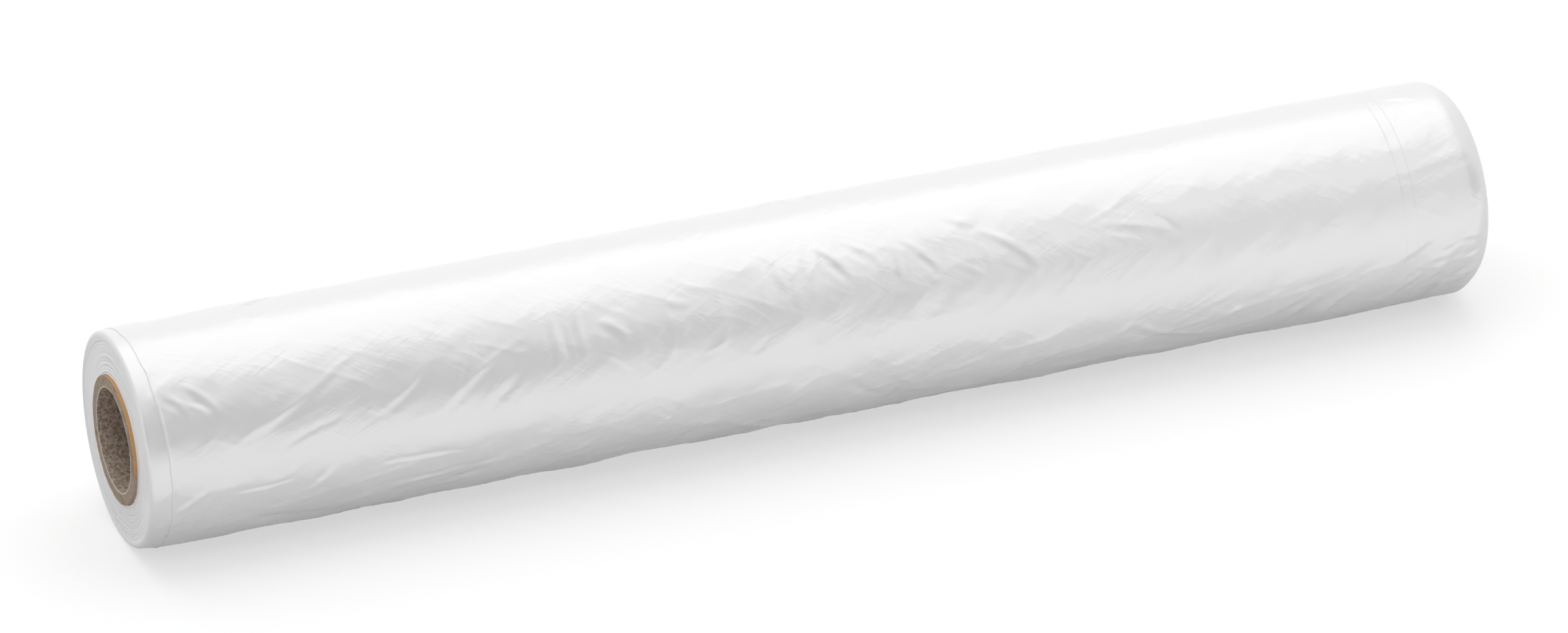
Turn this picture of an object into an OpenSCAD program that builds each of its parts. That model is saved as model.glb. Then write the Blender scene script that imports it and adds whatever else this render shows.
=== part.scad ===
// Roll of plastic sheeting: one folded sheet wound on a spiral-wound paper core, lying on its side.
// X runs along the roll, Z is up, and the floor is at z = 0. The near end is at -X.

/* [Roll] */
// Outer diameter of the wound sheet
roll_d = 160; // [145:1:220]
// Width of the folded sheet, which is the length of the wound part
roll_l = 1040; // [500:5:1600]
// Width of the flat spot that the roll's weight presses on the floor
flat_w = 26; // [8:1:50]

/* [Core] */
// Bore of the paper core
core_bore = 76; // [50:0.5:80]
// Wall of the paper core
core_wall = 9.5; // [3:0.5:12]
// Length of core that stands out past the sheet at each end
core_proud = 2; // [0:0.5:20]
// Clearance between the core and the first turn
core_fit = 0.1; // [0.05:0.05:0.5]
// Worn chamfer at the mouth of the core
core_chamfer = 0.8; // [0.2:0.1:1.4]

/* [Sheet] */
// Distance between the turns that show as lines on the ends
turn_pitch = 2.6; // [1.6:0.1:6]
// Depth of the line between two turns
turn_groove = 1.3; // [0.4:0.1:2.5]
// Step at the free end of the sheet, as thick as the folded sheet
tail_step = 0.6; // [0.2:0.1:1.5]
// Place of the free end round the back of the roll, from the floor up
tail_angle = 55; // [25:5:80]
// Step where a fold of the last turn ends short of the roll's end
fold_step = 0.5; // [0.2:0.1:1.2]

/* [Near end] */
// Rounding of the outer turns at the near end
near_round = 2.5; // [1:0.5:4]
// Width of the raised rim that the outer turns make
rim_w = 5; // [3.5:0.5:12]
// Depth of the dished face inside that rim
dish_depth = 1.5; // [0.5:0.5:8]
// Distance of the fold's edge from the near end
near_fold = 12; // [8:1:60]

/* [Far end] */
// Rounding of the slack outer turns at the far end
far_round = 22; // [4:1:26]
// Distance of the fold's edge from the far end
far_fold = 58; // [30:1:120]
// Distance between the two edges of the doubled fold there
far_fold_gap = 9; // [4:1:20]

/* [Creases] */
// Height of the tallest creases on the skin
crease_h = 0.8; // [0.3:0.1:1.2]

/* [Hidden] */
$fn = 96;

roll_r = roll_d / 2;
core_r = core_bore / 2 + core_wall;
seat_r = core_r + core_fit;
axis_h = sqrt(pow(roll_r, 2) - pow(flat_w / 2, 2));
rim_r = roll_r - rim_w;
dish_r = rim_r - dish_depth * 0.8;
turn_w = turn_pitch * 0.6;
fold_ramp = 0.8;
past = 4;

// Far end: smooth up to this angle of the rounding, then one ledge for each slack turn
slack_angle = 50;
ledge_count = floor(far_round * cos(slack_angle) / turn_pitch);
ledge_dip = 0.4;
ledge_r = roll_r - fold_step - far_round * (1 - cos(slack_angle));
far_face_r = ledge_r - ledge_count * turn_pitch;

// How far round the far end's rounding the skin has dropped below the end face at radius r
function sink(r, skin_r) =
    let (out = max(0, r - skin_r + far_round))
        far_round - sqrt(pow(far_round, 2) - pow(out, 2));

// Quarter round of the near end, from the end face out to the skin
function near_lip(skin_r) = [
    for (a = [90 : -15 : 0])
        [skin_r - near_round * (1 - cos(a)), near_round * (1 - sin(a)) - roll_l / 2]
];

// Rounding of the far end, from the skin in to the end face
function far_lip(skin_r) = concat(
    [
        for (a = [0 : 10 : slack_angle])
            [skin_r - far_round * (1 - cos(a)), roll_l / 2 - far_round * (1 - sin(a))]
    ],
    [
        for (k = [0 : ledge_count - 1])
            let (r = skin_r - far_round * (1 - cos(slack_angle)) - k * turn_pitch)
                each [
                    [r - turn_pitch, roll_l / 2 - sink(r, skin_r) - ledge_dip],
                    [r - turn_pitch, roll_l / 2 - (k < ledge_count - 1 ? sink(r - turn_pitch, skin_r) : 0)]
                ]
    ]
);

// Half section of the wound sheet: radius first, then place along the roll
function section(r) = concat(
    [[0, -roll_l / 2]],
    near_lip(r - fold_step),
    [
        [r - fold_step, near_fold - roll_l / 2],
        [r, near_fold + fold_ramp - roll_l / 2],
        [r, roll_l / 2 - far_fold - fold_ramp],
        [r - fold_step / 2, roll_l / 2 - far_fold],
        [r - fold_step / 2, roll_l / 2 - far_fold + far_fold_gap],
        [r - fold_step, roll_l / 2 - far_fold + far_fold_gap + fold_ramp]
    ],
    far_lip(r - fold_step),
    [[0, roll_l / 2]]
);

// Puts what is drawn round Z on the roll's axis, with angle 0 at the floor and 90 at the back
module on_axis() {
    translate([0, 0, axis_h]) rotate([0, 90, 0]) children();
}

// Two half turns about centres that are half a step apart, so that a step is left at one side
module wound(step, at = 0) {
    rotate([0, 0, at]) {
        rotate_extrude(angle = 180) polygon(section(roll_r));
        translate([-step / 2, 0, 0]) rotate([0, 0, 180])
            rotate_extrude(angle = 180) polygon(section(roll_r - step / 2));
    }
}

// Half a turn of the line between two layers, cut into a face that looks towards +Z
module half_line(r) {
    side = turn_w / 2;
    rotate_extrude(angle = 180) translate([r, 0])
        polygon([[-side, past], [-side, 0], [0, -turn_groove], [side, 0], [side, past]]);
}

// The line as a true spiral: half turns about two centres, half a pitch apart, out to out_r
module spiral_line(out_r) {
    halves = floor(2 * (out_r - turn_w / 2 - seat_r) / turn_pitch) - 1;
    for (k = [0 : halves - 1])
        translate([k % 2 * -turn_pitch / 2, 0, 0]) rotate([0, 0, k % 2 * 180])
            half_line(seat_r + turn_pitch * (k + 1) / 2);
}

// Near end: a dished face inside the rim, with the spiral of the turns in it
module near_face() {
    translate([0, 0, roll_l / 2 - dish_depth]) {
        cylinder(h = dish_depth, r1 = dish_r, r2 = rim_r);
        translate([0, 0, dish_depth]) cylinder(h = past, r = rim_r);
        spiral_line(dish_r);
    }
}

// Far end: a flat face with the spiral in it, inside the ledges
module far_face() {
    translate([0, 0, roll_l / 2]) spiral_line(far_face_r);
}

// Folds of the slack last turn. Each runs from one place on the skin to another. A place is the distance from
// the near end of a roll as long as crease_span, and the degrees from the top round the front. Then come the
// width of the fold, its share of crease_h and how far its middle bows out sideways.
crease_span = 1040;
creases = [
    [68, 70, 168, 34, 14, 0.9, 4], [170, 70, 216, 48, 12, 0.8, 3], [212, 80, 292, 44, 12, 0.9, -4],
    [248, 82, 284, 62, 9, 0.6, 2], [95, 80, 148, 68, 10, 0.6, -2], [18, 38, 36, 54, 9, 0.6, -2],
    [34, 36, 58, 56, 10, 0.8, -3], [314, 28, 311, 64, 8, 0.7, 1], [332, 26, 331, 64, 8, 0.6, 1],
    [165, 114, 285, 109, 8, 0.6, 2], [116, 106, 136, 93, 9, 0.6, 1], [483, 26, 490, 48, 9, 0.8, 2],
    [496, 44, 507, 24, 9, 0.8, 2], [508, 46, 519, 22, 9, 0.9, 3], [516, 26, 540, 48, 11, 1, -3],
    [540, 26, 566, 46, 10, 0.8, -2], [579, 28, 577, 54, 8, 0.6, 1], [584, 32, 608, 54, 9, 0.6, -2],
    [618, 22, 686, 58, 14, 0.8, -4], [716, 44, 764, 30, 9, 0.6, 2], [732, 44, 792, 58, 14, 0.8, -3],
    [400, 112, 520, 138, 20, 0.8, 6], [530, 104, 560, 122, 14, 0.7, 3], [742, 112, 826, 126, 18, 0.9, 9],
    [868, 140, 902, 108, 14, 0.8, -5], [896, 142, 930, 106, 16, 1, -6], [944, 136, 982, 106, 14, 0.9, -4],
    [84, -12, 132, -27, 10, 0.8, 2], [492, -14, 514, -28, 12, 0.8, 3], [548, -16, 584, -8, 10, 0.7, -2],
    [700, -20, 748, -8, 14, 0.8, -3], [140, -60, 190, -84, 14, 0.7, 3], [260, -100, 330, -86, 14, 0.8, -4],
    [420, -70, 470, -96, 12, 0.7, 3], [560, -88, 640, -110, 16, 0.8, -5], [700, -62, 760, -84, 14, 0.7, 3],
    [820, -96, 880, -72, 14, 0.8, 4], [90, -112, 150, -100, 12, 0.7, 2], [930, -60, 968, -80, 12, 0.7, -2],
];
crease_parts = 6;
crease_root = tail_step;

// Whether the last turn reaches as far along the roll as this fold
function on_last_turn(c) = max(c[0], c[2]) * roll_l <= (roll_l - far_fold) * crease_span;

// Half section of a fold: share of its half width, and share of its height
fold_section = [[-1, 0], [-0.5, 0.55], [0, 1], [0.5, 0.55], [1, 0]];

// A place on the skin: along from the near end, degrees from the top, height over the skin
function on_skin(along, turn, up) = [
    (along / crease_span - 0.5) * roll_l,
    -(roll_r + up) * sin(turn),
    axis_h + (roll_r + up) * cos(turn)
];

// A fold: a low ridge on a bowed line that rises out of the skin and fades into it at both ends
module crease(c) {
    per_deg = roll_r * PI / 180;
    run = [c[2] - c[0], (c[3] - c[1]) * per_deg];
    across = [-run[1], run[0]] / norm(run);
    sides = len(fold_section);
    last = sides * crease_parts;
    points = [
        for (k = [0 : crease_parts], s = fold_section)
            let (swell = sin(180 * k / crease_parts),
                 off = across * (c[6] * swell + s[0] * c[4] / 2 * (0.2 + 0.8 * swell)),
                 at = run * k / crease_parts + off)
                on_skin(c[0] + at[0], c[1] + at[1] / per_deg, crease_h * c[5] * swell * s[1]
                        + crease_root * (swell * s[1] - 1))
    ];
    polyhedron(points, concat(
        [[for (e = [0 : sides - 1]) e], [for (e = [sides - 1 : -1 : 0]) last + e]],
        [
            for (k = [0 : sides : last - sides], e = [0 : sides - 1]) let (f = (e + 1) % sides)
                each [[k + e, k + sides + e, k + f], [k + f, k + sides + e, k + sides + f]]
        ]
    ));
}

module core() {
    core_l = roll_l + 2 * core_proud;
    color([0.56, 0.46, 0.37]) on_axis() difference() {
        cylinder(h = core_l, r = core_r, center = true);
        cylinder(h = core_l + 2 * past, d = core_bore, center = true);
        for (way = [0, 180]) rotate([way, 0, 0]) translate([0, 0, core_l / 2 - core_chamfer])
            cylinder(h = core_chamfer * 2, r1 = core_bore / 2, r2 = core_bore / 2 + core_chamfer * 2);
    }
}

module film() {
    color([0.91, 0.92, 0.94]) difference() {
        union() {
            on_axis() wound(tail_step, tail_angle);
            for (c = creases) if (on_last_turn(c)) crease(c);
        }
        on_axis() {
            rotate([180, 0, 0]) near_face();
            far_face();
            cylinder(h = roll_l + 2 * past, r = seat_r, center = true);
        }
        translate([0, 0, -roll_r]) cube([roll_l + 2 * past, roll_d, roll_d], center = true);
    }
}

core();
film();
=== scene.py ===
"""A wide roll of folded white plastic sheeting on a paper core, lying on its side."""
from math import cos, pi, radians, sin, tau

import bpy
import numpy as np
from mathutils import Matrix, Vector


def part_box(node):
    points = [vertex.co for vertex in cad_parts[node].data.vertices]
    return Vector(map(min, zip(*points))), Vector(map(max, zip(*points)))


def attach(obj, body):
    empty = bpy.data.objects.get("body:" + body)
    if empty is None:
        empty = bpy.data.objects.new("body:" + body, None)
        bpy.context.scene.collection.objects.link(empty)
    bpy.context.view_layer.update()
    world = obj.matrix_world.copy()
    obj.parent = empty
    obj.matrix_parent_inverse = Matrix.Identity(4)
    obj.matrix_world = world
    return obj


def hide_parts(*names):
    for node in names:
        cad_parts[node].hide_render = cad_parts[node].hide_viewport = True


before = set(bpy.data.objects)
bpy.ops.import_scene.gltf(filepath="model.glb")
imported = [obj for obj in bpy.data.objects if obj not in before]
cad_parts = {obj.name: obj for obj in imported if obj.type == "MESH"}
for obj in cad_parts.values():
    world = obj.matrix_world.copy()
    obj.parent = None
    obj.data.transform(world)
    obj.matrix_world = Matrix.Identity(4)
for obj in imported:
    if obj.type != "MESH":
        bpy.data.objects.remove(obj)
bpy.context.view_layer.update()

MM = 0.001
scene = bpy.context.scene

# The camera looks along the photograph's direction from far off, aimed a little beside the roll's middle
# so that the roll sits in the frame as it does there.
film_low, film_high = (np.array(c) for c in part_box("film"))
core_low, core_high = (np.array(c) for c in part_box("core"))
axis_z = (core_low[2] + core_high[2]) / 2
roll_middle = Vector(((film_low[0] + film_high[0]) / 2, 0, axis_z))
CAMERA_TURN = radians(-20.93)
CAMERA_RISE = radians(30.25)
CAMERA_FAR = 9.0
AIM_LEFT, AIM_DOWN = 9.5 * MM, 5.6 * MM
camera_back = Vector((
    sin(CAMERA_TURN) * cos(CAMERA_RISE), -cos(CAMERA_TURN) * cos(CAMERA_RISE), sin(CAMERA_RISE)))
camera_right = Vector((cos(CAMERA_TURN), sin(CAMERA_TURN), 0))
camera_up = camera_back.cross(camera_right)
aim = roll_middle - camera_right * AIM_LEFT - camera_up * AIM_DOWN
bpy.ops.object.camera_add(location=aim + camera_back * CAMERA_FAR)
camera = bpy.context.object
camera.rotation_euler = camera_back.to_track_quat("Z", "Y").to_euler()
camera.data.sensor_width = 36
camera.data.lens = 284.8
camera.data.clip_end = 100
scene.camera = camera

# The last turn of the sheet: white polyethylene film, blown, folded and wound. It lies slack, so its folded
# edges end short of both ends of the roll, soft diagonal folds cross it where it has slipped, and it is
# pressed flat where the roll lies on the floor.
ROLL_R = 80.0
NEAR_X = film_low[0]
ROLL_L = (film_high[0] - film_low[0]) / MM
INNER_WALL = 77.2
LAST_TURN_COLUMNS = 228
SKIN_RINGS = 408
NEAR_FOLD = 12.0
FAR_FOLD = 967.0
TAIL_STEP = 0.6
TAIL_TURN = -125


def step(low, high, value):
    """Smooth step from 0 to 1."""
    share = ((value - low) / (high - low)).clip(0, 1)
    return share * share * (3 - 2 * share)


def spun(name, outline, columns):
    """A closed outline of (mm from the near end, radius in mm), spun round the roll's axis."""
    bpy.ops.object.select_all(action="DESELECT")
    bpy.ops.mesh.primitive_circle_add(vertices=len(outline), radius=0.1, fill_type="NOTHING")
    piece = bpy.context.object
    piece.name = name
    for vertex, (along, radius) in zip(piece.data.vertices, outline):
        vertex.co = (NEAR_X + along * MM, 0, axis_z + radius * MM)
    bpy.ops.object.mode_set(mode="EDIT")
    bpy.ops.mesh.select_all(action="SELECT")
    bpy.ops.mesh.spin(steps=columns, angle=tau, center=(0, 0, axis_z), axis=(1, 0, 0), use_auto_merge=False)
    bpy.ops.mesh.select_all(action="SELECT")
    bpy.ops.mesh.remove_doubles(threshold=1e-6)
    bpy.ops.mesh.normals_make_consistent(inside=False)
    bpy.ops.object.mode_set(mode="OBJECT")
    bpy.ops.object.shade_smooth()
    return piece


def places(piece):
    """Mm from the near end, degrees from the top round the front, and radius in mm, of every point."""
    co = np.empty(len(piece.data.vertices) * 3)
    piece.data.vertices.foreach_get("co", co)
    x, y, z = co.reshape(-1, 3).T
    z = z - axis_z
    return (x - NEAR_X) / MM, np.degrees(np.arctan2(-y, z)), np.hypot(y, z) / MM


def put(piece, along, turn, radius):
    """Puts every point at its place along and round the roll, and none of them below the floor."""
    turn = np.radians(turn)
    x = NEAR_X + along * MM
    y = -radius * MM * np.sin(turn)
    z = axis_z + radius * MM * np.cos(turn)
    co = np.stack([x, y, np.maximum(z, 0)], 1)
    piece.data.vertices.foreach_set("co", co.ravel())
    piece.data.update()


def closer_in_front(turn):
    """Moves evenly spread columns closer together on the front, where the folds are seen."""
    fine = np.linspace(-180, 180, 3601)
    density = 1 + 0.6 * step(-50, -35, fine) + 2.4 * step(8, 22, fine) - 3 * step(148, 160, fine)
    share = np.cumsum(density)
    share = (share - share[0]) / (share[-1] - share[0])
    return np.interp((turn + 180) / 360, share, fine)


def waves(seed, along, turn, length, count, slant=0.0):
    """Smooth noise from -1 to 1: cells of that length, count of them round the roll, slanting along it."""
    random = np.random.default_rng(seed)
    u = along / length
    v = ((turn / 360 + slant * along / 1000) % 1) * count
    grid = random.uniform(-1, 1, (int(u.max()) + 3, count))
    i, j = np.floor(u).astype(int).clip(0), np.floor(v).astype(int)
    f, g = u - i, v - j
    f, g = f * f * f * (f * (f * 6 - 15) + 10), g * g * g * (g * (g * 6 - 15) + 10)
    a, b = grid[i, j % count], grid[i + 1, j % count]
    c, d = grid[i, (j + 1) % count], grid[i + 1, (j + 1) % count]
    return (a * (1 - f) + b * f) * (1 - g) + (c * (1 - f) + d * f) * g


def ridges(seed, along, turn, length, count, slant=0.0):
    """Ridges along the zero lines of the noise, from 0 to 1."""
    return (1 - np.abs(waves(seed, along, turn, length, count, slant))) ** 3


# Folds, listed one by one: from (mm from the near end, degrees from the top) to the same, then half width,
# height and bow in mm
FOLDS = [
    (68, 70, 168, 34, 2.6, 0.55, 4), (170, 70, 216, 48, 2.4, 0.55, 3), (205, 96, 218, 80, 1.6, 0.25, 0),
    (228, 72, 252, 31, 1.6, 0.3, 1), (212, 79, 292, 44, 2.6, 0.5, -4), (248, 82, 284, 62, 2.4, -0.4, 2),
    (95, 80, 148, 68, 2.4, -0.4, -2), (18, 38, 36, 54, 2.2, 0.45, -2), (34, 36, 58, 56, 2.4, 0.55, -3),
    (36, 45, 54, 55, 2.2, -0.4, -2), (314, 26, 311, 64, 2.2, 0.45, 1), (319, 44, 320, 62, 2.2, -0.4, 1),
    (332, 24, 331, 64, 2.2, 0.4, 1), (165, 114, 285, 109, 1.7, -0.5, 2), (116, 106, 136, 93, 2.0, -0.5, 1),
    (122, 124, 133, 108, 2.0, 0.45, 1), (345, 44, 366, 58, 3.0, 0.6, -3), (380, 60, 402, 50, 1.7, 0.3, 0),
    (343, 60, 366, 74, 2.0, 0.35, -2), (398, 40, 418, 44, 3.2, 0.5, 2), (420, 72, 442, 65, 2.0, 0.3, 1),
    (455, 77, 472, 69, 2.0, -0.35, 1), (485, 26, 490, 48, 2.6, 0.6, 2), (496, 44, 507, 24, 2.4, 0.6, 2),
    (508, 46, 519, 22, 2.4, 0.7, 3), (516, 26, 540, 48, 2.8, 0.75, -3), (524, 38, 534, 47, 2.2, -0.5, -1),
    (540, 26, 566, 46, 2.6, 0.6, -2), (553, 34, 560, 44, 2.2, -0.4, -1), (579, 26, 577, 56, 2.0, 0.4, 1),
    (584, 32, 608, 54, 2.2, 0.45, -2), (618, 22, 642, 32, 2.4, 0.4, 1), (640, 34, 684, 60, 3.0, 0.6, -3),
    (716, 44, 764, 30, 1.8, 0.35, 2), (732, 44, 792, 58, 3.0, 0.6, -3), (774, 44, 792, 58, 2.4, -0.6, -2),
    (840, 50, 852, 26, 2.2, 0.3, 2), (560, 76, 640, 72, 3.0, 0.2, 3), (92, -14, 132, -27, 2.2, 0.6, 2),
    (92, -11, 118, -22, 2.0, 0.45, 1), (76, -13, 118, -4, 3.4, -0.4, 3), (492, -14, 514, -28, 3.0, 0.8, 3),
    (520, -28, 528, -10, 2.8, 0.8, 4), (540, -28, 546, -10, 2.6, 0.8, 4), (548, -16, 584, -8, 2.4, -0.6, -2),
    (700, -20, 748, -8, 4.0, -0.7, -4), (610, -24, 646, -22, 4.0, -0.6, 2), (370, -24, 396, -22, 4.0, -0.5, 2),
    (930, -18, 972, -8, 3.0, -0.6, -2), (980, -5, 1006, 1, 1.8, 0.35, 1), (742, 110, 750, 102, 2.6, 0.6, 0),
    (748, 102, 826, 124, 3.4, 0.9, 5), (530, 104, 562, 122, 3.0, -0.6, 3), (566, 104, 592, 120, 3.0, 0.6, 2),
    (400, 112, 440, 116, 3.4, 0.5, 1), (436, 116, 522, 142, 4.0, 0.9, 7), (396, 134, 418, 112, 2.6, -0.7, 2),
    (420, 134, 426, 112, 1.8, 0.5, 1), (452, 138, 470, 124, 3.4, -0.8, 3), (562, 132, 572, 116, 2.6, -0.8, 3),
    (572, 117, 604, 124, 2.8, 0.6, 3), (652, 130, 668, 106, 2.8, 0.7, 4), (604, 128, 640, 132, 3.0, 0.7, -2),
    (690, 128, 734, 131, 3.4, 0.8, 1), (744, 130, 800, 138, 3.4, 0.8, -3), (868, 140, 902, 108, 3.0, 0.8, -5),
    (884, 140, 908, 112, 2.0, -0.5, -4), (896, 142, 930, 106, 3.4, 1.1, -6), (944, 136, 982, 106, 3.0, 0.9, -4),
    (204, 133, 222, 127, 2.6, -0.7, 2), (72, 120, 150, 132, 4.0, -0.8, 3), (60, 134, 100, 126, 3.0, 0.5, 2),
    (180, 130, 200, 122, 3.0, 0.6, 1), (250, 138, 290, 130, 3.4, -0.8, 2), (290, 142, 308, 122, 2.4, 0.7, 2),
    (340, 129, 366, 127, 2.2, 0.5, 0), (830, 132, 850, 124, 3.6, 0.7, 2), (985, 100, 1016, 88, 3.0, 0.7, 3),
    (1000, 119, 1022, 106, 2.2, -0.8, 1), (990, 112, 1002, 96, 2.4, 0.6, 2), (986, 140, 998, 112, 2.4, -0.9, 1),
    (16, 118, 30, 100, 1.8, 0.35, 1), (17, 107, 46, 93, 2.0, 0.4, 1), (22, 132, 34, 116, 1.8, 0.45, 1),
    (34, 134, 54, 108, 2.0, 0.55, 2), (40, 126, 46, 112, 1.6, 0.4, 1), (28, 126, 44, 104, 1.8, 0.35, -1),
    (962, 50, 1036, 42, 4.0, 0.45, -2), (1004, 124, 1032, 103, 2.4, 0.8, 2), (978, 132, 1000, 100, 2.6, 0.7, -3),
    (962, 95, 990, 84, 2.4, 0.45, 1), (940, 130, 970, 104, 2.2, 0.5, 2), (1012, 101, 1036, 95, 2.0, -0.6, 1),
    (994, 94, 1010, 87, 2.4, 0.7, 0), (1006, 87, 1034, 91, 2.2, 0.6, -1), (966, 124, 990, 106, 2.0, 0.5, 1),
    (860, 118, 892, 104, 2.2, 0.5, 2), (800, 118, 840, 104, 2.2, 0.4, 2), (668, 124, 700, 112, 2.2, 0.5, -2),
    (470, 118, 500, 104, 2.2, 0.45, 2), (310, 120, 344, 108, 2.2, 0.5, 2), (224, 122, 262, 116, 2.0, -0.5, 2),
    (62, 99, 108, 97, 1.5, -0.4, 1), (172, 98, 238, 100, 1.5, -0.4, -1), (140, 128, 172, 116, 2.2, 0.5, 2),
    (600, 112, 640, 106, 2.0, 0.35, 1), (384, 110, 396, 102, 2.0, 0.4, 1), (700, 142, 744, 136, 2.6, -0.7, 1),
    (120, 142, 168, 136, 2.6, 0.6, 2), (486, 144, 530, 140, 2.6, 0.7, 2), (590, 144, 640, 140, 2.6, -0.7, 2),
    (140, -60, 190, -84, 3.4, 0.7, 3), (260, -100, 330, -86, 3.4, 0.8, -4), (420, -70, 470, -96, 3.0, 0.7, 3),
    (560, -88, 640, -110, 4.0, 0.8, -5), (700, -62, 760, -84, 3.4, 0.7, 3), (820, -96, 880, -72, 3.4, 0.8, 4),
    (90, -112, 150, -100, 3.0, 0.7, 2), (930, -60, 968, -80, 3.0, 0.7, -2),
]


# The folds stand higher than their list says, and most so low on the front, where the film hangs slack
FOLD_GAIN = 1.35
LOW_FOLD_GAIN = 1.9
LOW_FOLDS_FROM = 95


def fold_heights(along, turn):
    """Sum of the folds' heights: each a crest on a bowed line, with a shallow valley beside it."""
    arc = np.radians(turn) * ROLL_R
    total = np.zeros_like(along)
    for from_along, from_turn, to_along, to_turn, width, height, bow in FOLDS:
        start = np.array([from_along, radians(from_turn) * ROLL_R])
        run = np.array([to_along, radians(to_turn) * ROLL_R]) - start
        size = np.hypot(*run)
        run /= size
        du, dv = along - start[0], arc - start[1]
        near = du * du + dv * dv < (size + 30) ** 2
        f = ((du[near] * run[0] + dv[near] * run[1]) / size).clip(0, 1)
        swell = np.sin(pi * f) ** 0.7
        off = (dv[near] * run[0] - du[near] * run[1] - bow * np.sin(pi * f)) / width
        crest = 0.62 * np.exp(-off ** 2) + 0.38 * np.exp(-np.abs(off) / 1.6)
        gain = LOW_FOLD_GAIN if (from_turn + to_turn) / 2 > LOW_FOLDS_FROM else FOLD_GAIN
        total[near] += gain * height * swell * (crest - 0.4 * np.exp(-((off - 2.0) / 1.1) ** 2))
    return total


def skin_heights(along, turn):
    """Height in mm of the slack film over the round of the roll."""
    top = step(-20, -8, turn) * (1 - step(14, 34, turn))
    low = step(90, 112, turn) + 1 - step(-100, -60, turn)
    end = step(2, 12, along) * (1 - step(ROLL_L - 20, ROLL_L - 6, along))
    soft = 0.42 * waves(3, along, turn, 46, 24, 0.9) + 0.22 * waves(5, along, turn, 26, 44, 0.7)
    crimp = 0.34 * ridges(7, along, turn, 38, 20, 1.1) + 0.26 * ridges(9, along, turn, 30, 26, -1.0)
    long = 0.5 * waves(11, along, turn, 64, 40, 0.15) + 0.8 * ridges(13, along, turn, 56, 30, 0.3)
    baggy = 0.7 * waves(19, along, turn, 34, 16, -0.6)
    band = step(16, 28, turn) * (1 - 0.7 * step(58, 74, turn))
    patch = step(-0.5, 0.4, waves(33, along, turn, 80, 12))
    fine = 0.17 * ridges(25, along, turn, 19, 44, 1.7) + 0.15 * ridges(27, along, turn, 16, 50, -1.4)
    crisp = fine * (band * (0.35 + 0.65 * patch) + 1.5 * low)
    return end * ((1 - 0.6 * top) * (soft + crimp) + low * (long + baggy) + crisp + fold_heights(along, turn))


def tail_heights(turn):
    """The skin's slow spiral, which ends in the step at the sheet's free end."""
    behind = (turn - TAIL_TURN) % 360
    return TAIL_STEP * (behind / 360 - 1) * (1 - step(359, 360, behind))


def edge_shift(along, turn):
    """How far the near folded edge strays along the roll: it slants, and lies further in low on the front."""
    slant = 4.0 * np.sin(np.radians(turn - 20)) + 0.5 * waves(17, turn * 0 + 8, turn, 10, 40)
    return slant * (1 - step(14, 70, along))


def last_turn_outline():
    """Half section: a folded edge with a small bead, the skin, and two edges at the far end."""
    near = [(6.0, INNER_WALL), (0.3, 79.0), (0.0, 79.3), (0.0, 79.7), (0.15, 79.95), (0.45, 80.05)]
    near += [(0.8, 80.05), (1.2, 80.03)] + [(along, ROLL_R) for along in (1.8, 2.6, 3.6, 4.6, 6.0)]
    near = [(NEAR_FOLD + along, radius) for along, radius in near]
    skin = [(along, ROLL_R) for along in np.linspace(NEAR_FOLD + 8, FAR_FOLD - 1.6, SKIN_RINGS)]
    far = [(-0.9, 80.0), (-0.4, 80.0), (-0.1, 79.95), (0.1, 79.82), (0.5, 79.76), (2.5, 79.75), (5.5, 79.75)]
    far += [(8.2, 79.75), (8.8, 79.72), (9.1, 79.6), (9.2, 79.4), (9.2, 79.2), (9.0, 79.0), (4.0, INNER_WALL)]
    far = [(FAR_FOLD + along, radius) for along, radius in far]
    return near + skin + far


last_turn = spun("sheet_last_turn", last_turn_outline(), LAST_TURN_COLUMNS)
along, turn, radius = places(last_turn)
turn = closer_in_front(turn)
in_from_edge = along - NEAR_FOLD
along = along + edge_shift(along, turn)
outside = step(78, 79.2, radius)
bead = (0.34 + 0.16 * waves(35, turn * 0 + 8, turn, 10, 22)) * np.exp(-((in_from_edge - 0.9) / 0.8) ** 2)
pinch = -0.3 * step(62, 80, turn) * np.exp(-((in_from_edge - 3.4) / 1.2) ** 2)
skin = tail_heights(turn) + bead + pinch + skin_heights(along, turn)
put(last_turn, along, turn, radius + outside * skin)

# The near rim: the folded edges of the outer turns, film over film, wound tight enough to lie level. They
# make a smooth, narrow, rounded rim that shows outside the last turn's edge.
RIM_COLUMNS = 300
RIM_R = 79.55
RIM_ROUND = 3.75


def near_rim_outline():
    """Half section of the rim, from the hidden wall over the end to under the last turn's edge."""
    end = [(12.0, 66.0), (6.0, 68.0), (3.0, 69.6), (1.9, 71.0), (1.3, 72.2), (0.8, 73.4), (0.4, 74.4)]
    middle = RIM_R - RIM_ROUND
    round_over = [(3.8 * (1 - sin(radians(a))), middle + RIM_ROUND * cos(radians(a)))
                  for a in range(90, -1, -9)]
    skin = [(4.6 + 0.8 * k, RIM_R) for k in range(22)]
    return end + [(0.12, 75.2)] + round_over + skin + [(24, 76), (24, 66)]


def lay_skin(piece):
    """Gives the outside of a slack end the same soft heights as the last turn over it."""
    along, turn, radius = places(piece)
    outside = step(70, 78, radius) * step(0, 5, along)
    put(piece, along, turn, radius + outside * (tail_heights(turn) + skin_heights(along, turn)))


near_rim = spun("sheet_near_rim", near_rim_outline(), RIM_COLUMNS)
lay_skin(near_rim)

# The far turns: the outer turns of film were wound loose there and have slid along, so that they turn over in
# a broad soft rounding and lie back in towards the core.
FAR_ROUND = 22
SLACK_R = 79.42


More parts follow.
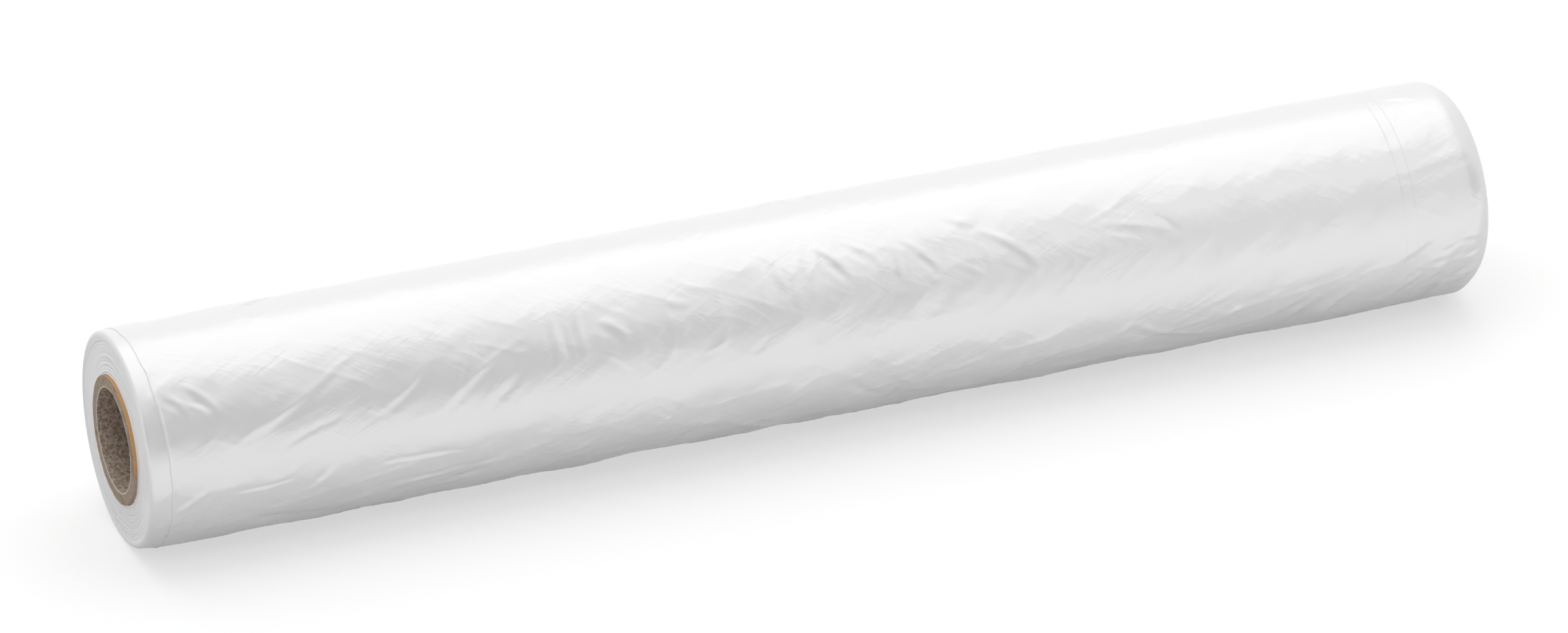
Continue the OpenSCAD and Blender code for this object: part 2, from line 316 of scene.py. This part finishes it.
def far_turns_outline():
    """Half section of the far end, from under the last turn's edge over the rounding to the hidden wall."""
    skin = [(FAR_FOLD - 4 + 1.6 * k, SLACK_R) for k in range(34)]
    middle, low = ROLL_L - FAR_ROUND, SLACK_R - FAR_ROUND
    round_over = [(middle + FAR_ROUND * sin(radians(a)), low + FAR_ROUND * cos(radians(a)))
                  for a in np.arange(6, 85, 2.6)]
    inside = [(0.1, 58.4), (0.3, 57.4), (1.2, 56.8), (4, 57), (8, 62)]
    return [(FAR_FOLD - 4, 70)] + skin + round_over + [(ROLL_L - depth, radius) for depth, radius in inside]


far_turns = spun("sheet_far_turns", far_turns_outline(), RIM_COLUMNS)
lay_skin(far_turns)

# The wound turns: many thin layers of the same film from the core out to the slack ones. They show on each
# end as one long spiral of fine dark lines where air lies between the layers, here cut grooves with painted
# shade in them, and the near end is a little hollow between the rim and the core.
TURN_PITCH = 2.9
TURN_COLUMNS = 256
FACE_STEP = 0.29
LAYER_KINDS = 40
CORE_R = (core_high[2] - core_low[2]) / 2 / MM
SEAT_R = CORE_R + 0.1


def near_face():
    """Half section of the near face, from the core out to below the rim."""
    radii = np.arange(SEAT_R, 74.8, FACE_STEP)
    hollow = np.sin(pi * ((radii - SEAT_R) / (75.5 - SEAT_R)).clip(0, 1))
    return list(zip(0.4 + 1.3 * hollow, radii))


def far_face():
    """Half section of the far face, from below the rounded end in to the core."""
    return [(ROLL_L - 0.9, radius) for radius in np.arange(60.0, SEAT_R, -FACE_STEP)]


def wound_outline():
    """Half section of the wound turns: both faces, and the walls that the slack turns hide."""
    hidden = [(8, 76), (ROLL_L - 40, 72), (ROLL_L - 8, 60.4)]
    return near_face() + hidden + far_face() + [(ROLL_L - 6, SEAT_R), (6, SEAT_R)]


turns = spun("sheet_wound_turns", wound_outline(), TURN_COLUMNS)
along, turn, radius = places(turns)
# Turns below each point, counted out from the core along a spiral that wanders, most so low down
bottom = step(110, 135, np.abs(turn))
wander = (0.3 + 0.5 * bottom) * waves(21, radius, turn, 4, 9)
wander += (0.1 + 0.2 * bottom) * waves(22, radius, turn, 2, 34)
count = (radius - SEAT_R) / TURN_PITCH - turn / 360 + wander
whole = np.floor(count)
share = count - whole
# Each layer lies a little out or in and has its own depth of line, with fainter lines between
layer = whole.astype(int) % LAYER_KINDS
random = np.random.default_rng(31)
deep = random.uniform(0.3, 1.0, LAYER_KINDS)[layer]
proud = random.uniform(-0.35, 0.35, LAYER_KINDS)[layer]
line = 1.6 * deep * np.exp(-((share - 0.5) / 0.12) ** 2)
thin = 0.16 * np.exp(-(((share * 3) % 1 - 0.5) / 0.2) ** 2)
shown = 0.1 + 0.9 * np.abs(np.cos(np.radians(turn - 6))) ** 2
shown = shown * (0.75 + 0.35 * waves(37, radius, turn, 9, 7))
cut = shown * (line + thin - proud * (1 - np.abs(share * 2 - 1) ** 6))
put(turns, along + cut * ((along < 5) * 1.0 - (along > ROLL_L - 5)), turn, radius)
# Painted shade: how far the ends' base colour is darkened in the grooves between the turns
groove_shade = turns.data.attributes.new("groove_shade", "FLOAT", "POINT")
groove_shade.data.foreach_set("value", (shown * (0.8 * line + 2 * thin)).astype(np.float32))

for piece in (last_turn, near_rim, far_turns, turns):
    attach(piece, "root")
    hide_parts("film")


# The film's look: milky white, glossy, with fine crumples in patches and more of them low down, and a
# painted shade, a darker base colour, in the grooves between the turns.
def material(name, colour, roughness):
    """A new node material with its main shader's plain values set."""
    made = bpy.data.materials.new(name)
    made.use_nodes = True
    shader = made.node_tree.nodes["Principled BSDF"]
    shader.inputs["Base Color"].default_value = (*colour, 1)
    shader.inputs["Roughness"].default_value = roughness
    return made, made.node_tree, shader


def node(tree, kind, **settings):
    """A node with its properties, and its inputs by name, set."""
    made = tree.nodes.new(kind)
    for key, value in settings.items():
        if hasattr(made, key):
            setattr(made, key, value)
        else:
            made.inputs[key.replace("_", " ")].default_value = value
    return made


def math(tree, operation, *inputs):
    """A math node's result, from sockets or plain numbers."""
    made = tree.nodes.new("ShaderNodeMath")
    made.operation = operation
    for socket, value in zip(made.inputs, inputs):
        if isinstance(value, (int, float)):
            socket.default_value = value
        else:
            tree.links.new(value, socket)
    return made.outputs[0]


def crumple_group():
    """Node group: height in mm of fine folds that lie at a slant on the unrolled film."""
    tree = bpy.data.node_groups.new("crumple", "ShaderNodeTree")
    tree.interface.new_socket("Place", in_out="INPUT", socket_type="NodeSocketVector")
    for name in ("Slant", "Length", "Width", "Seed"):
        tree.interface.new_socket(name, in_out="INPUT", socket_type="NodeSocketFloat")
    tree.interface.new_socket("Height", in_out="OUTPUT", socket_type="NodeSocketFloat")
    given = tree.nodes.new("NodeGroupInput").outputs
    turned = node(tree, "ShaderNodeVectorRotate", rotation_type="Z_AXIS")
    tree.links.new(given["Place"], turned.inputs["Vector"])
    tree.links.new(given["Slant"], turned.inputs["Angle"])
    size = node(tree, "ShaderNodeCombineXYZ")
    tree.links.new(given["Length"], size.inputs["X"])
    tree.links.new(given["Width"], size.inputs["Y"])
    size.inputs["Z"].default_value = 1
    scaled = node(tree, "ShaderNodeVectorMath", operation="DIVIDE")
    tree.links.new(turned.outputs["Vector"], scaled.inputs[0])
    tree.links.new(size.outputs["Vector"], scaled.inputs[1])
    ridged = node(tree, "ShaderNodeTexNoise", noise_dimensions="4D", noise_type="RIDGED_MULTIFRACTAL", Scale=1,
                  Detail=2, Roughness=0.5, Lacunarity=2.1, Offset=0.9, Gain=1.6, Distortion=0.5)
    tree.links.new(scaled.outputs["Vector"], ridged.inputs["Vector"])
    tree.links.new(given["Seed"], ridged.inputs["W"])
    out = tree.nodes.new("NodeGroupOutput")
    tree.links.new(ridged.outputs["Fac"], out.inputs["Height"])
    return tree


def unrolled_group():
    """Node group: place on the unrolled film in mm, along the roll and round it from the top."""
    tree = bpy.data.node_groups.new("unrolled", "ShaderNodeTree")
    tree.interface.new_socket("Place", in_out="OUTPUT", socket_type="NodeSocketVector")
    tree.interface.new_socket("Turn", in_out="OUTPUT", socket_type="NodeSocketFloat")
    tree.interface.new_socket("Radius", in_out="OUTPUT", socket_type="NodeSocketFloat")
    here = tree.nodes.new("ShaderNodeTexCoord").outputs["Object"]
    parts = tree.nodes.new("ShaderNodeSeparateXYZ")
    tree.links.new(here, parts.inputs[0])
    forward = math(tree, "MULTIPLY", parts.outputs["Y"], -1)
    up = math(tree, "SUBTRACT", parts.outputs["Z"], axis_z)
    turn = math(tree, "ARCTAN2", forward, up)
    joined = tree.nodes.new("ShaderNodeCombineXYZ")
    across = math(tree, "SQRT", math(tree, "MULTIPLY_ADD", up, up, math(tree, "MULTIPLY", forward, forward)))
    tree.links.new(math(tree, "MULTIPLY", parts.outputs["X"], 1 / MM), joined.inputs["X"])
    tree.links.new(math(tree, "MULTIPLY", turn, ROLL_R), joined.inputs["Y"])
    out = tree.nodes.new("NodeGroupOutput")
    tree.links.new(joined.outputs["Vector"], out.inputs["Place"])
    tree.links.new(math(tree, "MULTIPLY", turn, 180 / pi), out.inputs["Turn"])
    tree.links.new(math(tree, "MULTIPLY", across, 1 / MM), out.inputs["Radius"])
    return tree


def between(tree, low, high, value):
    """Smooth step from 0 to 1 of a socket's value."""
    made = node(tree, "ShaderNodeMapRange", interpolation_type="SMOOTHSTEP", From_Min=low, From_Max=high)
    tree.links.new(value, made.inputs["Value"])
    return made.outputs["Result"]


def blend(tree, share, first, second):
    """Mixes two colours, each a socket or plain numbers."""
    made = node(tree, "ShaderNodeMix", data_type="RGBA")
    tree.links.new(share, made.inputs["Factor"])
    for socket, colour in ((made.inputs[6], first), (made.inputs[7], second)):
        if isinstance(colour, tuple):
            socket.default_value = (*colour, 1)
        else:
            tree.links.new(colour, socket)
    return made.outputs[2]


def noise(tree, cell, detail, seed, place=None):
    """Noise from 0 to 1 with cells of that size in mm, in space or on the unrolled film."""
    made = node(tree, "ShaderNodeTexNoise", noise_dimensions="4D", W=seed, Detail=detail)
    made.inputs["Scale"].default_value = 1 / cell if place else 1 / (cell * MM)
    place = place or tree.nodes.new("ShaderNodeTexCoord").outputs["Object"]
    tree.links.new(place, made.inputs["Vector"])
    return made.outputs["Fac"]


crumple = crumple_group()
unrolled = unrolled_group()


def rough_up(tree, shader, height):
    """Bumps a shader's surface by a height in mm."""
    bump = node(tree, "ShaderNodeBump", Strength=1, Distance=MM)
    tree.links.new(height, bump.inputs["Height"])
    tree.links.new(bump.outputs["Normal"], shader.inputs["Normal"])


# Painted shade for the grooves between the turns on the ends
GROOVE_SHADE_COLOUR = (0.42, 0.44, 0.46)


def film_material(name, colour, crumples, low_crumples=()):
    """White film with fine folds of (slant, length, width, height) in patches, and others low down."""
    made, tree, shader = material(name, colour, 0.3)
    shader.inputs["IOR"].default_value = 2.4
    place = node(tree, "ShaderNodeGroup", node_tree=unrolled).outputs
    patches = between(tree, 0.4, 0.62, noise(tree, 55, 1, 3, place["Place"]))
    patches = math(tree, "MULTIPLY_ADD", patches, 0.75, 0.25)
    low = between(tree, 88, 118, math(tree, "ABSOLUTE", place["Turn"]))
    total = 0
    layers = [(sizes, patches) for sizes in crumples] + [(sizes, low) for sizes in low_crumples]
    for seed, ((slant, length, width, height), where) in enumerate(layers):
        layer = node(tree, "ShaderNodeGroup", node_tree=crumple, Slant=radians(slant), Length=length,
                     Width=width, Seed=seed * 7.3)
        tree.links.new(place["Place"], layer.inputs["Place"])
        share = math(tree, "MULTIPLY", where, height)
        total = math(tree, "MULTIPLY_ADD", layer.outputs["Height"], share, total)
    rough_up(tree, shader, total)
    # Painted shade: the base colour darkens in the grooves between the turns
    deep = between(tree, 0, 1.2, node(tree, "ShaderNodeAttribute", attribute_name="groove_shade").outputs["Fac"])
    tree.links.new(blend(tree, deep, colour, GROOVE_SHADE_COLOUR), shader.inputs["Base Color"])
    return made


white_film = film_material(
    "white_film", (0.80, 0.80, 0.80), [(26, 44, 8, 0.12), (-32, 24, 7, 0.09), (60, 12, 4, 0.02)],
    [(16, 60, 8, 0.2), (-24, 30, 7, 0.12)])
end_film = film_material("end_film", (0.80, 0.80, 0.804), [(0, 6, 6, 0.03)])
last_turn.data.materials.append(white_film)
far_turns.data.materials.append(white_film)
near_rim.data.materials.append(end_film)
turns.data.materials.append(end_film)

# The core: a tube of recycled grey-brown board, wound in a spiral from many glued plies and sawn off square.
# Its bore is rough like felt, the saw has left a ragged pale inner edge, and its outer ply is orange-tan.
CORE_COLUMNS = 220
BORE_R = 38.0
BORE_RINGS = 90
WALL_RINGS = 24


def core_outline():
    """Half section of the whole tube."""
    low, high = (core_low[0] - NEAR_X) / MM, (core_high[0] - NEAR_X) / MM
    walls = list(np.linspace(BORE_R + 0.5, CORE_R - 0.25, WALL_RINGS))
    near = [(low + 0.15, radius) for radius in walls]
    far = [(high - 0.15, radius) for radius in reversed(walls)]
    bore = [(along, BORE_R) for along in np.linspace(high - 0.8, low + 0.8, BORE_RINGS)]
    return near + [(low + 0.35, CORE_R - 0.02), (high - 0.35, CORE_R - 0.02)] + far + bore


core = spun("paper_core", core_outline(), CORE_COLUMNS)
along, turn, radius = places(core)
at_mouth = (along < -0.9) * 1.0 + (along > ROLL_L + 0.9)
inward = (along < 0) * 1.0 - (along > ROLL_L)
inner_edge = at_mouth * (1 - step(38.6, 39.8, radius))
outer_edge = at_mouth * step(46.6, 47.3, radius)
torn = 0.26 * waves(43, radius, turn, 6, 44) + 0.16 * waves(44, radius, turn, 6, 100)
rough = 0.16 * waves(41, radius, turn, 1.3, 110) + 0.1 * (1 + waves(42, radius, turn, 2.4, 16))
put(core, along + at_mouth * inward * (rough + 0.3 * inner_edge * np.abs(torn)), turn,
    radius + inner_edge * torn - outer_edge * np.abs(torn))


def board_material():
    """Recycled board: brown and felt-like in the bore, sawn and fibrous on the ends."""
    made, tree, shader = material("core_board", (0.30, 0.235, 0.18), 0.9)
    shader.inputs["Specular IOR Level"].default_value = 0.25
    place = node(tree, "ShaderNodeGroup", node_tree=unrolled).outputs
    parts = tree.nodes.new("ShaderNodeSeparateXYZ")
    tree.links.new(place["Place"], parts.inputs[0])
    along = math(tree, "SUBTRACT", parts.outputs["X"], NEAR_X / MM)
    on_end = between(tree, 0.5 * ROLL_L + 1.3, 0.5 * ROLL_L + 1.6,
                     math(tree, "ABSOLUTE", math(tree, "SUBTRACT", along, 0.5 * ROLL_L)))
    fibre, clump, stain = noise(tree, 0.9, 3, 1), noise(tree, 2.4, 2, 5), noise(tree, 14, 1, 9)
    bore = blend(tree, between(tree, 0.36, 0.64, clump), (0.30, 0.228, 0.178), (0.56, 0.45, 0.365))
    bore = blend(tree, between(tree, 0.56, 0.74, fibre), bore, (0.72, 0.60, 0.50))
    sawn = blend(tree, between(tree, 0.36, 0.64, fibre), (0.34, 0.262, 0.2), (0.54, 0.435, 0.35))
    sawn = blend(tree, between(tree, 0.52, 0.7, stain), sawn, (0.33, 0.25, 0.19))
    edge = math(tree, "MULTIPLY_ADD", clump, -1.6, place["Radius"])
    sawn = blend(tree, between(tree, 38.9, 38.4, edge), sawn, (0.68, 0.62, 0.55))
    upper_right = between(tree, 66, 44, math(tree, "ABSOLUTE", math(tree, "SUBTRACT", place["Turn"], 38)))
    tan = blend(tree, upper_right, (0.5, 0.37, 0.27), (0.66, 0.37, 0.16))
    ends = blend(tree, on_end, bore, sawn)
    outer_ply = between(tree, CORE_R - 0.8, CORE_R - 0.5, place["Radius"])
    tree.links.new(blend(tree, outer_ply, ends, tan), shader.inputs["Base Color"])
    rough_up(tree, shader, math(tree, "MULTIPLY_ADD", clump, 1.1, math(tree, "MULTIPLY", fibre, 0.7)))
    return made


core.data.materials.append(board_material())
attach(core, "root")
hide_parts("core")


# The floor is plain and pale, and keeps the roll's shadow. Seen directly or in a reflection it is white,
# and it throws back the light of a grey table.
def is_looked_at(tree):
    """1 for a ray from the camera, a reflection or a clear thing, and 0 for soft light."""
    path = node(tree, "ShaderNodeLightPath")
    total = path.outputs["Is Camera Ray"]
    for kind in ("Is Glossy Ray", "Is Transmission Ray"):
        total = math(tree, "MAXIMUM", total, path.outputs[kind])
    return total


def by_ray(tree, soft, looked_at, socket):
    """Gives a socket one level for soft light and another where the surface is looked at."""
    level = node(tree, "ShaderNodeMapRange", To_Min=soft, To_Max=looked_at)
    tree.links.new(is_looked_at(tree), level.inputs["Value"])
    tree.links.new(level.outputs["Result"], socket)


FLOOR_BOUNCE, FLOOR_WHITE, FLOOR_GLOW = 0.34, 0.5, 0.54
bpy.ops.object.select_all(action="DESELECT")
bpy.ops.mesh.primitive_plane_add(size=30, location=(0, 0, 0))
floor = bpy.context.object
floor.name = "floor"
pale, tree, shader = material("pale_floor", (0.8, 0.8, 0.8), 0.9)
shader.inputs["Specular IOR Level"].default_value = 0
shader.inputs["Emission Color"].default_value = (1, 1, 1, 1)
by_ray(tree, FLOOR_BOUNCE, FLOOR_WHITE, shader.inputs["Base Color"])
by_ray(tree, 0, FLOOR_GLOW, shader.inputs["Emission Strength"])
floor.data.materials.append(pale)


# The light is a broad soft box overhead, a low one in front, a small one beside the far half and one that
# faces the near end, in a pale room with a darker band that the front of the skin reflects.
def soft_box(name, place, look_at, size, power):
    """A rectangular lamp of that power in watts that the camera doesn't see."""
    bpy.ops.object.light_add(type="AREA", location=place)
    lamp = bpy.context.object
    lamp.name = name
    lamp.data.shape = "RECTANGLE"
    lamp.data.size, lamp.data.size_y = size
    lamp.data.energy = power
    lamp.rotation_euler = (Vector(place) - Vector(look_at)).to_track_quat("Z", "X").to_euler()
    lamp.visible_camera = False


soft_box("overhead", (0, 0.7, 2.2), look_at=(0, 0, 0.08), size=(2.8, 3.4), power=30)
soft_box("front", (0, -0.56, 0.09), look_at=(0, -0.345, 1.065), size=(0.82, 3.4), power=5.8)
soft_box("side", (0.95, -1.2, 0.95), look_at=(0.45, 0, 0.1), size=(1.5, 0.95), power=3.2)
soft_box("end", (-2.2, -0.3, 0.6), look_at=(-0.5, 0, 0.08), size=(1.2, 1.2), power=2.0)

room = bpy.data.worlds.new("room")
scene.world = room
room.use_nodes = True
tree = room.node_tree
air = tree.nodes["Background"]
parts = node(tree, "ShaderNodeSeparateXYZ")
tree.links.new(node(tree, "ShaderNodeTexCoord").outputs["Generated"], parts.inputs[0])
from_top = math(tree, "ARCTAN2", math(tree, "MULTIPLY", parts.outputs["Y"], -1), parts.outputs["Z"])
lit = node(tree, "ShaderNodeValToRGB")
ramp = lit.color_ramp
ramp.interpolation = "EASE"
for degrees_from_top, value in ((32, 1), (46, 0.1), (70, 0.16), (80, 0.85)):
    stop = ramp.elements.new(degrees_from_top / 180)
    stop.color = (value, value, value, 1)
ramp.elements.remove(ramp.elements[0])
ramp.elements.remove(ramp.elements[-1])
tree.links.new(math(tree, "DIVIDE", from_top, pi), lit.inputs["Fac"])
tree.links.new(lit.outputs["Color"], air.inputs["Color"])
ROOM_LIGHT = 0.75
by_ray(tree, ROOM_LIGHT, 1, air.inputs["Strength"])
scene.view_settings.view_transform = "Standard"
